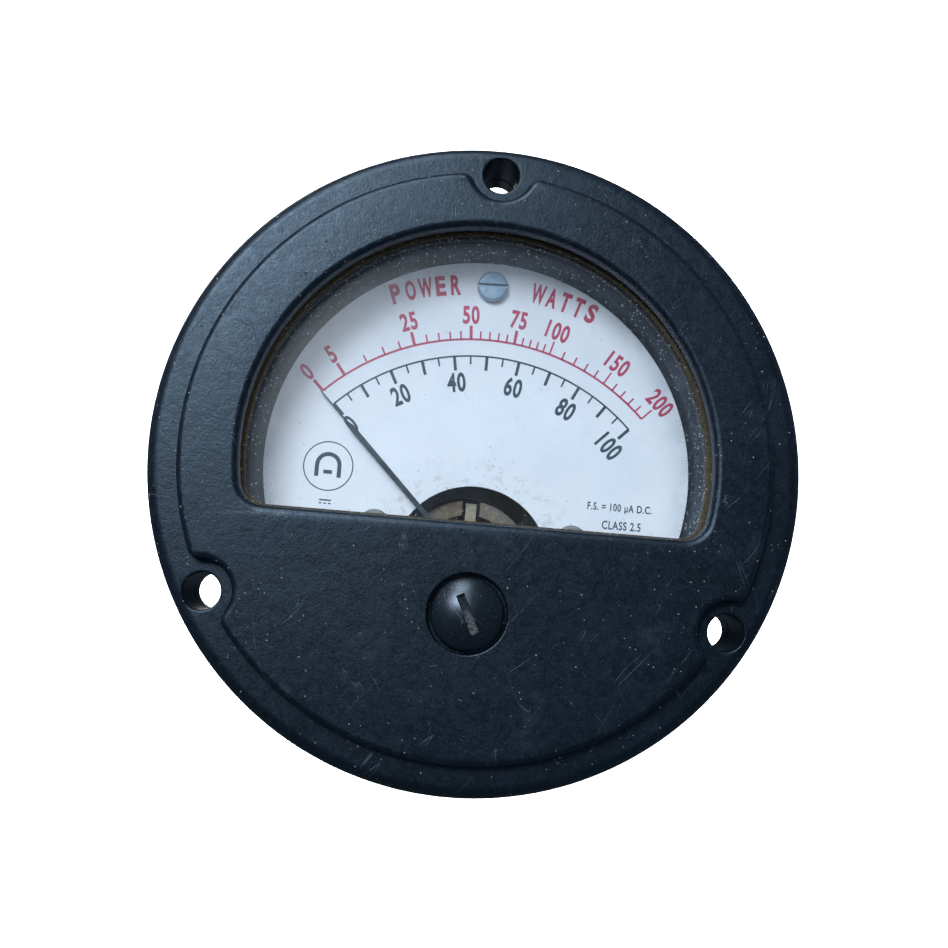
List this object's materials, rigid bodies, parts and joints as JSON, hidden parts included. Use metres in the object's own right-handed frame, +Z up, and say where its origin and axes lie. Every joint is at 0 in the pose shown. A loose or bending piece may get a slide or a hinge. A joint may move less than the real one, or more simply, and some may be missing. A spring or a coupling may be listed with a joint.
{
  "type": "panel meter",
  "caption": "Round flush-mounting moving-coil panel meter in a black moulded case, with a D-shaped window, twin power scales, zero adjuster and rear terminal studs.",
  "frame": {"origin": "centre of the flange's back face, where the meter bears on its panel", "axes": "the dial faces -Y, +Y runs back through the panel along the barrel's axis, +Z is up with the zero adjuster below the window, +X is to the reader's right"},
  "size_m": [0.0684, 0.049, 0.0684],
  "materials": {
    "bakelite": "satin moulded phenolic, blue-black, scratched and dusty",
    "screw_black": "satin black moulded screw head",
    "glass": "clear flat window glass with dust",
    "cork": "dark olive gasket",
    "cement": "olive-brown cement",
    "dial": "matt off-white paint with printed scales",
    "pointer": "blue-black lacquer",
    "magnet": "cast alloy",
    "iron": "dusty dull soft iron",
    "brass": "dull brass",
    "terminal_brass": "nickel-plated brass, dulled",
    "steel": "plain",
    "dull_steel": "dulled blue-grey",
    "aluminium": "plain",
    "copper": "enamelled copper wire",
    "bronze": "phosphor bronze",
    "tin": "tinned brass",
    "red_insulation": "sleeved",
    "black_insulation": "sleeved"
  },
  "bodies": {
    "root": {"bridge_screw_left": "steel", "bridge_screw_right": "steel", "cover_screw_bottom": "dull_steel", "cover_screw_left": "dull_steel", "cover_screw_right": "dull_steel", "dial_pillar_left": "brass", "dial_pillar_right": "brass", "dial_pillar_top": "brass", "dial_plate": "dial", "dial_screw_left": "dull_steel", "dial_screw_right": "dull_steel", "dial_screw_top": "dull_steel", "frame_screw_bottom": "steel", "frame_screw_left": "steel", "frame_screw_right": "steel", "front_bridge": "brass", "front_cover": "bakelite", "front_jewel_nut": "brass", "front_jewel_screw": "brass", "glass_cement": "cement", "glass_gasket": "cork", "horseshoe_magnet": "magnet", "iron_core": "iron", "left_lead": "red_insulation", "left_pole_piece": "iron", "lock_washer_left": "steel", "lock_washer_right": "steel", "lower_core_support": "brass", "movement_frame": "aluminium", "pole_screw_left": "steel", "pole_screw_right": "steel", "rear_bridge": "brass", "rear_case": "bakelite", "rear_jewel_nut": "brass", "rear_jewel_screw": "brass", "right_lead": "black_insulation", "right_pole_piece": "iron", "seat_nut_left": "terminal_brass", "seat_nut_right": "terminal_brass", "terminal_lug_left": "tin", "terminal_lug_right": "tin", "terminal_nut_left": "terminal_brass", "terminal_nut_right": "terminal_brass", "terminal_stud_left": "terminal_brass", "terminal_stud_right": "terminal_brass", "upper_core_support": "brass", "washer_left": "terminal_brass", "washer_right": "terminal_brass", "window_glass": "glass"},
    "zero_screw": {"zero_adjust_screw": "screw_black", "zero_screw_clip": "steel"},
    "zero_arm": {"zero_adjust_arm": "brass"},
    "moving_coil": {"coil_former": "aluminium", "coil_winding": "copper", "front_staff": "steel", "rear_staff": "steel", "pointer": "pointer", "balance_weight": "brass", "front_hairspring": "bronze", "rear_hairspring": "bronze"}
  },
  "joints": [
    {"name": "zero_adjust_turn", "type": "hinge", "parent": "root", "child": "zero_screw", "pos_m": [0, -0.008, -0.0156], "axis": [0, 1, 0], "range_deg": [-45, 45]},
    {"name": "zero_arm_swing", "type": "hinge", "parent": "root", "child": "zero_arm", "pos_m": [0, -0.005, -0.0105], "axis": [0, 1, 0], "range_deg": [-6, 6]},
    {"name": "pointer_swing", "type": "hinge", "parent": "zero_arm", "child": "moving_coil", "pos_m": [0, 0, -0.0105], "axis": [0, 1, 0], "range_deg": [-1, 91], "stiffness_Nm_per_rad": 0.00002}
  ],
  "couplings": [
    {"joint": "zero_arm_swing", "follows": "zero_adjust_turn", "ratio": -0.12}
  ]
}
